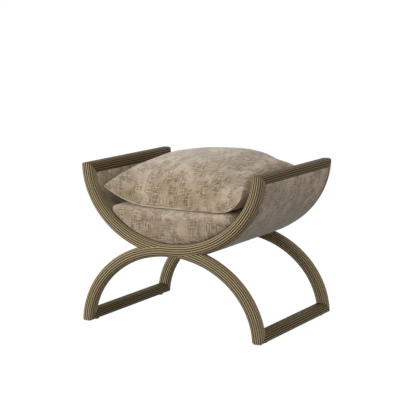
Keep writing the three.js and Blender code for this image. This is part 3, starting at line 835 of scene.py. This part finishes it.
class STOOL_OT_throw_pillow(bpy.types.Operator):
    """Build the loose knife-edge pillow"""

    bl_idname = "stool.throw_pillow"
    bl_label = "Throw pillow"

    def execute(self, context):
        top, bottom = pillow_surface(True), pillow_surface(False)
        width = lengths_along(top[:, PILLOW_ROWS // 2])[-1]
        run = lengths_along(top[PILLOW_COLUMNS // 2])[-1]
        top_cloth = flat_cloth(top, width, run)
        bottom_cloth = flat_cloth(bottom, width, run) + BOTTOM_CUT_OFFSET
        parts = [grid(top, top_cloth), grid(bottom, bottom_cloth)]
        piece = weld("chenille_throw_pillow", parts, SEWN_CREASE)
        plump(piece)
        refine(piece)
        dress(piece, chenille_finish(), PILLOW, "throw_pillow")
        return {"FINISHED"}


def flat_cut(piece):
    """Where each of the pillow's points lies when its two cloths are flat on each other."""
    flat = np.zeros((len(piece.data.vertices), 3))
    layer = piece.data.uv_layers["weave"].data
    for polygon in piece.data.polygons:
        for i, vertex in zip(polygon.loop_indices, polygon.vertices):
            u, v = layer[i].uv
            lower = u > BOTTOM_CUT_OFFSET / 2
            shift = BOTTOM_CUT_OFFSET if lower else 0.0
            flat[vertex] = (u - shift, v - shift, -CLOTH_THICKNESS if lower else CLOTH_THICKNESS)
    return flat


def simulated(piece, flat):
    """Where cloth of the flat cut's lengths, swelled by pressure, takes the pillow's points."""
    piece.shape_key_add(name="Basis")
    cut_key = piece.shape_key_add(name="cut")
    cut_key.data.foreach_set("co", flat.ravel())
    cut_key.value = 0.0
    cloth = piece.modifiers.new("cloth", "CLOTH")
    cloth.settings.rest_shape_key = cut_key
    for name, value in PLUMP_CLOTH.items():
        setattr(cloth.settings, name, value)
    cloth.settings.effector_weights.gravity = 0.0
    cloth.point_cache.frame_end = PLUMP_FRAMES
    scene = bpy.context.scene
    for frame_number in range(1, PLUMP_FRAMES + 1):
        scene.frame_set(frame_number)
    after = coordinates(piece.evaluated_get(bpy.context.evaluated_depsgraph_get()))
    piece.modifiers.remove(cloth)
    piece.shape_key_clear()
    scene.frame_set(1)
    return after


def plump(piece):
    """Fills the pillow by cloth simulation, within reach of its drawn form."""
    before = coordinates(piece)
    flat = flat_cut(piece)
    move = simulated(piece, flat) - before
    size = np.linalg.norm(move, axis=1)
    from_seam = (np.abs(flat).max(0) - np.abs(flat))[:, :2].min(1)
    inner = np.minimum(1, from_seam / PLUMP_SEAM_WIDTH)
    free = np.where(flat[:, 2] > 0, PLUMP_REACH, PLUMP_BELLY_REACH)
    reach = PLUMP_SEAM_REACH + (free - PLUMP_SEAM_REACH) * inner
    kept = reach * np.tanh(size / reach) / np.maximum(size, 1e-9)
    made = before + move * kept[:, None]
    made[:, 2] = np.maximum(made[:, 2], pillow_floor(made[:, 0], made[:, 1]))
    piece.data.vertices.foreach_set("co", made.ravel())
    piece.data.update()


def coordinates(piece):
    flat = np.zeros(len(piece.data.vertices) * 3)
    piece.data.vertices.foreach_get("co", flat)
    return flat.reshape(-1, 3)


def refine(piece):
    """Subdivides a piece once, keeps its creased seam and its corners, and marks the seam for a painted
    highlight.
    """
    work = bmesh.new()
    work.from_mesh(piece.data)
    seam = work.edges.layers.float.new("crease_edge")
    corner = work.verts.layers.float.new("crease_vert")
    seam_highlight = work.verts.layers.float.new("painted_seam_highlight")
    for edge in work.edges:
        if edge.calc_face_angle(0.0) > SEAM_ANGLE:
            edge[seam] = 1.0
            for vert in edge.verts:
                vert[seam_highlight] = 1.0
    for vert in work.verts:
        if len(vert.link_faces) == 2:
            vert[corner] = 1.0
    work.to_mesh(piece.data)
    work.free()
    modifier = piece.modifiers.new("subdivision", "SUBSURF")
    modifier.levels = 1
    modifier.render_levels = 1
    piece.data = applied(piece, modifier)
    soften(piece, SEWN_CREASE)


# Materials
def new_material(name):
    """A material that has no nodes yet, and its node tree."""
    material = bpy.data.materials.new(name)
    material.use_nodes = True
    material.node_tree.nodes.clear()
    return material, material.node_tree


def add_node(tree, kind, inputs=(), **settings):
    """Adds a node with its settings and links.

    Its inputs are given by name, or as a list by place. Each is a value, a colour without alpha, a
    socket to link, or a node whose first output is linked.
    """
    made = tree.nodes.new(kind)
    for name, value in settings.items():
        setattr(made, name, value)
    named = inputs if isinstance(inputs, dict) else dict(enumerate(inputs))
    for name, value in named.items():
        socket = made.inputs[name]
        if isinstance(value, bpy.types.Node):
            value = value.outputs[0]
        if isinstance(value, bpy.types.NodeSocket):
            tree.links.new(value, socket)
        elif socket.type == "RGBA":
            socket.default_value = (*value, 1)
        else:
            socket.default_value = value
    return made


# Settings and inputs that many nodes share; a Mix node of colours has them at its inputs 6 and 7
SMOOTH = {"interpolation_type": "SMOOTHSTEP"}
PLAIN_NOISE = {"Scale": 1.0, "Roughness": 0.55}
MIX_RESULT = 2

STREAK_LENGTH = 83.3 * MM


def reed_finish(name, crest_colour, groove_colour):
    """Antiqued gilt wood: gold-brown over dark glaze, wiped off the crests and left in the grooves."""
    material, tree = new_material(name)
    uv = add_node(tree, "ShaderNodeUVMap", uv_map="weave")
    parts = add_node(tree, "ShaderNodeSeparateXYZ", [uv])
    reed, along = parts.outputs[0], parts.outputs[1]
    place = add_node(tree, "ShaderNodeMath", [reed], operation="FRACT")
    off_crest = add_node(tree, "ShaderNodeMath", [place, 0.5], operation="SUBTRACT")
    from_crest = add_node(tree, "ShaderNodeMath", [off_crest], operation="ABSOLUTE")
    number = add_node(tree, "ShaderNodeMath", [reed], operation="FLOOR")

    # Wiping leaves uneven glaze along each reed: long streaks on reeds 6.5 mm wide
    along_grain = add_node(tree, "ShaderNodeMath", [along, STREAK_LENGTH], operation="DIVIDE")
    grain = add_node(tree, "ShaderNodeCombineXYZ", [reed, along_grain])
    streaks = add_node(tree, "ShaderNodeTexNoise", {"Vector": grain, "Detail": 3.0, **PLAIN_NOISE})
    each = add_node(tree, "ShaderNodeTexWhiteNoise", {"W": number}, noise_dimensions="1D")

    # The groove glaze starts half way down a reed's flank and is wiped unevenly
    wiped = add_node(tree, "ShaderNodeMath", [streaks, 0.08], operation="MULTIPLY")
    edge = add_node(tree, "ShaderNodeMath", [from_crest, wiped], operation="ADD")
    groove = add_node(tree, "ShaderNodeMapRange", [edge, 0.16, 0.5], **SMOOTH)
    reed_tone = add_node(tree, "ShaderNodeMath", [each, 0.4], operation="MULTIPLY")
    streak_tone = add_node(tree, "ShaderNodeMath", [streaks, 0.6], operation="MULTIPLY")
    tone = add_node(tree, "ShaderNodeMath", [reed_tone, streak_tone], operation="ADD")
    worn = add_node(tree, "ShaderNodeMapRange", [tone, 0.15, 0.8, 0.82, 1.12], **SMOOTH)
    gilt = add_node(tree, "ShaderNodeVectorMath", {0: crest_colour, "Scale": worn}, operation="SCALE")
    glazed = add_node(tree, "ShaderNodeMix", {0: groove, 6: gilt, 7: groove_colour}, data_type="RGBA")
    dulled = add_node(tree, "ShaderNodeMapRange", [groove, 0.0, 1.0, 0.4, 0.8], **SMOOTH)
    surface = {"Base Color": glazed.outputs[MIX_RESULT], "Roughness": dulled, "Specular IOR Level": 0.1}
    shader = add_node(tree, "ShaderNodeBsdfPrincipled", surface)
    add_node(tree, "ShaderNodeOutputMaterial", {"Surface": shader})
    return material


def blots(tree, vector, x, y, z=1.0, turn=0.0, detail=2.0):
    """Noise with blots of about these sizes along each axis."""
    place = {"Vector": vector, "Scale": (1 / x, 1 / y, 1 / z), "Rotation": (0, 0, turn)}
    placed = add_node(tree, "ShaderNodeMapping", place)
    return add_node(tree, "ShaderNodeTexNoise", {"Vector": placed, "Detail": detail, **PLAIN_NOISE})


# Chenille: real slubs are about 1.5 mm wide, drawn 2.7 mm wide because finer ones would not show
SLUB_WIDTH = 2.7 * MM
SLUB_LENGTH = 30 * MM
BLOTCH = 38 * MM
YARN = 1.6 * MM
CHENILLE_RELIEF = 0.5 * MM
CHENILLE_BUMP = 0.12
SEAM_LIGHTENING = 1.2
SOLID_RELIEF = 0.1 * MM


def chenille_finish():
    """Woven cotton chenille: a beige pile with gold-brown slubs both ways, light and dark in patches."""
    material = bpy.data.materials.get("woven_chenille")
    if material:
        return material
    sizes = cloth_sizes()
    material, tree = new_material("woven_chenille")
    cloth = add_node(tree, "ShaderNodeUVMap", uv_map="weave")
    weft = blots(tree, cloth, SLUB_LENGTH, SLUB_WIDTH)
    warp = blots(tree, cloth, SLUB_WIDTH, SLUB_LENGTH)
    fine_weft = blots(tree, cloth, 4 * YARN, YARN)
    fine_warp = blots(tree, cloth, YARN, 4 * YARN)
    blotches = blots(tree, cloth, BLOTCH, BLOTCH / 0.7, detail=3.0)
    nap_sheen = blots(tree, cloth, BLOTCH / 0.4, BLOTCH / 0.5, turn=0.6, detail=3.0)

    # Dark slubs show where either yarn is thick, and more of them inside the blotches
    patches = add_node(tree, "ShaderNodeMapRange", [blotches, 0.4, 0.6, -0.08, 0.08], **SMOOTH)
    thickest = add_node(tree, "ShaderNodeMath", [weft, warp], operation="MAXIMUM")
    thinnest = add_node(tree, "ShaderNodeMath", [weft, warp], operation="MINIMUM")
    dark_slubs = add_node(tree, "ShaderNodeMath", [thickest, patches], operation="ADD")
    light_slubs = add_node(tree, "ShaderNodeMath", [thinnest, patches], operation="SUBTRACT")

    # Painted highlight along a sewn edge, over about 5 mm, where the seam's ridge would catch the light
    seam_highlight = add_node(tree, "ShaderNodeAttribute", attribute_name="painted_seam_highlight").outputs["Fac"]
    seam_highlight_colour = [SEAM_LIGHTENING * part for part in sizes.crest_pile]

    # What lies over the plain pile, in order: where it shows, from where to where and how much
    layers = [
        # patches where the pile lies the other way, darker as a painted sheen
        ([nap_sheen, 0.35, 0.68, 0.0, 1.0], sizes.shade_colour),
        ([blotches, 0.42, 0.66, 0.0, 0.55], sizes.slub_colour),
        ([dark_slubs, 0.5, 0.65, 0.0, 0.85], sizes.slub_colour),
        ([light_slubs, 0.3, 0.44, 0.7, 0.0], sizes.crest_pile),
        # painted highlight along the seams
        ([seam_highlight, 0.45, 1.0, 0.0, 0.9], seam_highlight_colour),
    ]
    pile = sizes.pile_colour
    for place, tint in layers:
        share = add_node(tree, "ShaderNodeMapRange", place, **SMOOTH)
        layered = add_node(tree, "ShaderNodeMix", {0: share, 6: pile, 7: tint}, data_type="RGBA")
        pile = layered.outputs[MIX_RESULT]

    # Each yarn is lighter on its back, and the dark slubs lie a little lower
    yarns = add_node(tree, "ShaderNodeMath", [fine_weft, fine_warp], operation="ADD")
    shade = add_node(tree, "ShaderNodeMapRange", [yarns, 0.7, 1.3, 0.86, 1.1], **SMOOTH)
    shaded = add_node(tree, "ShaderNodeVectorMath", {0: pile, "Scale": shade}, operation="SCALE")
    raised = add_node(tree, "ShaderNodeMath", [yarns, 0.4], operation="MULTIPLY")
    sunk = add_node(tree, "ShaderNodeMath", [dark_slubs, 0.6], operation="MULTIPLY")
    height = add_node(tree, "ShaderNodeMath", [raised, sunk], operation="SUBTRACT")
    relief = {"Height": height, "Distance": CHENILLE_RELIEF, "Strength": CHENILLE_BUMP}
    surface = {
        "Base Color": shaded,
        "Normal": add_node(tree, "ShaderNodeBump", relief),
        "Roughness": 0.95,
        "Specular IOR Level": 0.2,
        "Sheen Weight": 0.4,
        "Sheen Roughness": 0.6,
    }
    shader = add_node(tree, "ShaderNodeBsdfPrincipled", surface)
    add_node(tree, "ShaderNodeOutputMaterial", {"Surface": shader})
    return material


def solid_finish(name, light, dark, millimetres, roughness, metallic=0.0):
    """A finish for a carried-over solid, with streaks of these sizes along x, y and z."""
    material, tree = new_material(name)
    place = add_node(tree, "ShaderNodeTexCoord").outputs["Object"]
    streaks = blots(tree, place, *[size * MM for size in millimetres], detail=4.0)
    share = add_node(tree, "ShaderNodeMapRange", [streaks, 0.3, 0.7], **SMOOTH)
    tints = {0: share, 6: linear(light), 7: linear(dark)}
    dulled = [streaks, 0.3, 0.7, roughness, roughness + 0.1]
    relief = {"Height": streaks, "Distance": SOLID_RELIEF, "Strength": 1.0}
    surface = {
        "Base Color": add_node(tree, "ShaderNodeMix", tints, data_type="RGBA").outputs[MIX_RESULT],
        "Roughness": add_node(tree, "ShaderNodeMapRange", dulled, **SMOOTH),
        "Normal": add_node(tree, "ShaderNodeBump", relief),
        "Metallic": metallic,
    }
    shader = add_node(tree, "ShaderNodeBsdfPrincipled", surface)
    add_node(tree, "ShaderNodeOutputMaterial", {"Surface": shader})
    return material


# The solids of these slots have a piece that stands for them
DRESSED_SLOTS = ("reeding", "chenille")


class STOOL_OT_carcass_finishes(bpy.types.Operator):
    """Finish the solids that are carried over: cores, plywood, wadding, fasteners and glides"""

    bl_idname = "stool.carcass_finishes"
    bl_label = "Carcass finishes"

    def execute(self, context):
        finishes = {
            # Beech, planed: a warm brown with fine darker flecks along the grain
            "core_timber": solid_finish("planed_beech", "#c39a6b", "#9c7448", (6, 30, 3), 0.55),
            # Birch plywood, bent and sanded: pale veneers 1.5 mm thick with browner glue lines
            "plywood": solid_finish("sanded_birch_plywood", "#d8bd8f", "#a98457", (30, 40, 1.5), 0.6),
            # Polyester wadding, carded: off-white fibre clumps
            "padding": solid_finish("carded_wadding", "#efebdf", "#d9d3c2", (5, 5, 5), 0.95),
            # Zinc-plated steel, tumbled: grey with faint cloudy patches
            "fastener_steel": solid_finish("zinc_plated_steel", "#b4b5b2", "#8d8f8c", (2, 2, 2), 0.3, 1.0),
            # Nylon, moulded: nearly black with a faint mottled grain
            "glide_nylon": solid_finish("moulded_nylon", "#3d382f", "#2e2a23", (1, 1, 1), 0.45),
        }
        for subpart in frame["record"]["subparts"]:
            if subpart["material_slot"] in DRESSED_SLOTS:
                continue
            mesh = frame["nodes"][subpart["node"]].data
            mesh.materials.clear()
            mesh.materials.append(finishes[subpart["material_slot"]])
        return {"FINISHED"}


# Stage
PHOTO_PIXELS = 400
SENSOR_MM = 36
KEY_PLACE = Vector((-2.9, -2.6, 1.3))
KEY_SIZE = 2.4
FILL_PLACE = Vector((4.0, -0.4, 1.1))
FILL_SIZE = 2.0
FLOOR_PAINT = "#5c5b59"


class STOOL_OT_studio(bpy.types.Operator):
    """Set up the camera, the floor, the white background and the lamps"""

    bl_idname = "stool.studio"
    bl_label = "Studio"

    def execute(self, context):
        settings = context.scene.stage
        context.scene.view_settings.view_transform = "Standard"
        make_camera(settings)
        make_floor(settings)
        make_world(settings)
        aim = Vector((0, 0, settings.target_height))
        area_lamp("key_lamp", settings.key_power, KEY_SIZE, KEY_PLACE, aim)
        area_lamp("fill_lamp", settings.fill_power, FILL_SIZE, FILL_PLACE, aim)
        return {"FINISHED"}


def make_camera(settings):
    turn = Matrix.Rotation(settings.azimuth, 3, "Z")
    rise = Matrix.Rotation(pi / 2 - settings.elevation, 3, "X")
    axes = turn @ rise @ Matrix.Rotation(settings.roll, 3, "Z")
    lens = bpy.data.cameras.new("camera")
    lens.sensor_width = SENSOR_MM
    lens.lens = settings.focal_pixels * SENSOR_MM / PHOTO_PIXELS
    lens.shift_x = 0.5 - settings.centre_x_pixels / PHOTO_PIXELS
    lens.shift_y = settings.centre_y_pixels / PHOTO_PIXELS - 0.5
    camera = add_object("camera", lens)
    camera.matrix_world = axes.to_4x4()
    camera.location = Vector((0, 0, settings.target_height)) + axes.col[2] * settings.distance
    bpy.context.scene.camera = camera


def area_lamp(name, power, size, place, aim):
    lamp = bpy.data.lights.new(name, "AREA")
    lamp.energy = power
    lamp.size = size
    holder = add_object(name, lamp)
    holder.location = place
    holder.rotation_euler = (aim - place).to_track_quat("-Z", "Y").to_euler()


def seen_ray(tree):
    """1 where the camera sees a surface or the world, straight, by reflection or through glass."""
    path = add_node(tree, "ShaderNodeLightPath")
    rays = [path.outputs["Is Camera Ray"], path.outputs["Is Glossy Ray"]]
    first = add_node(tree, "ShaderNodeMath", rays, operation="ADD")
    rays = [first, path.outputs["Is Transmission Ray"]]
    return add_node(tree, "ShaderNodeMath", rays, operation="ADD", use_clamp=True)


def make_floor(settings):
    """A grey painted studio floor: mostly plain white to the camera, with a faint shadow of the stool."""
    size = settings.floor_size / 2
    mesh = bpy.data.meshes.new("floor")
    corners = [(-size, -size, 0), (size, -size, 0), (size, size, 0), (-size, size, 0)]
    mesh.from_pydata(corners, [], [(0, 1, 2, 3)])
    floor = add_object("floor", mesh)
    material, tree = new_material("grey_floor_paint")
    paint = {"Base Color": linear(FLOOR_PAINT), "Roughness": 0.9}
    shader = add_node(tree, "ShaderNodeBsdfPrincipled", paint)
    plain = add_node(tree, "ShaderNodeEmission", {"Strength": settings.white_strength})
    share = add_node(tree, "ShaderNodeMath", [seen_ray(tree), settings.white_share], operation="MULTIPLY")
    blend = add_node(tree, "ShaderNodeMixShader", [share, shader, plain])
    add_node(tree, "ShaderNodeOutputMaterial", {"Surface": blend})
    mesh.materials.append(material)


def make_world(settings):
    world = bpy.data.worlds.new("studio")
    bpy.context.scene.world = world
    world.use_nodes = True
    tree = world.node_tree
    tree.nodes.clear()
    seen = seen_ray(tree)
    past_ambient = add_node(tree, "ShaderNodeMath", [seen, 1 - settings.ambient], operation="MULTIPLY")
    strength = add_node(tree, "ShaderNodeMath", [past_ambient, settings.ambient], operation="ADD")
    light = add_node(tree, "ShaderNodeBackground", {"Color": (1, 1, 1), "Strength": strength})
    add_node(tree, "ShaderNodeOutputWorld", {"Surface": light})


# Add-on
PIECE_OPERATORS = (
    STOOL_OT_reeded_ribs,
    STOOL_OT_reeded_rails,
    STOOL_OT_cradle_covers,
    STOOL_OT_seat_cushion,
    STOOL_OT_throw_pillow,
    STOOL_OT_carcass_finishes,
    STOOL_OT_studio,
)


class STOOL_PT_panel(bpy.types.Panel):
    """Lists the sizes and colours, and what the add-on builds from them."""

    bl_label = "Vanity stool"
    bl_idname = "STOOL_PT_panel"
    bl_space_type = "VIEW_3D"
    bl_region_type = "UI"
    bl_category = "Vanity stool"

    def draw(self, context):
        for name, group in SETTINGS.items():
            for entry in group.__annotations__:
                self.layout.prop(getattr(context.scene, name), entry)
        for operator in PIECE_OPERATORS:
            self.layout.operator(operator.bl_idname)


SETTINGS = {"reeding": ReedingSizes, "upholstery": UpholsterySizes, "stage": StageSettings}
CLASSES = (*SETTINGS.values(), *PIECE_OPERATORS, STOOL_PT_panel)


def register():
    for made in CLASSES:
        bpy.utils.register_class(made)
    for name, group in SETTINGS.items():
        setattr(bpy.types.Scene, name, bpy.props.PointerProperty(type=group))


def unregister():
    for name in SETTINGS:
        delattr(bpy.types.Scene, name)
    for made in reversed(CLASSES):
        bpy.utils.unregister_class(made)


def main():
    register()
    bpy.ops.stool.reeded_ribs()
    bpy.ops.stool.reeded_rails()
    bpy.ops.stool.cradle_covers()
    bpy.ops.stool.seat_cushion()
    bpy.ops.stool.throw_pillow()
    bpy.ops.stool.carcass_finishes()
    bpy.ops.stool.studio()


if __name__ == "__main__":
    main()
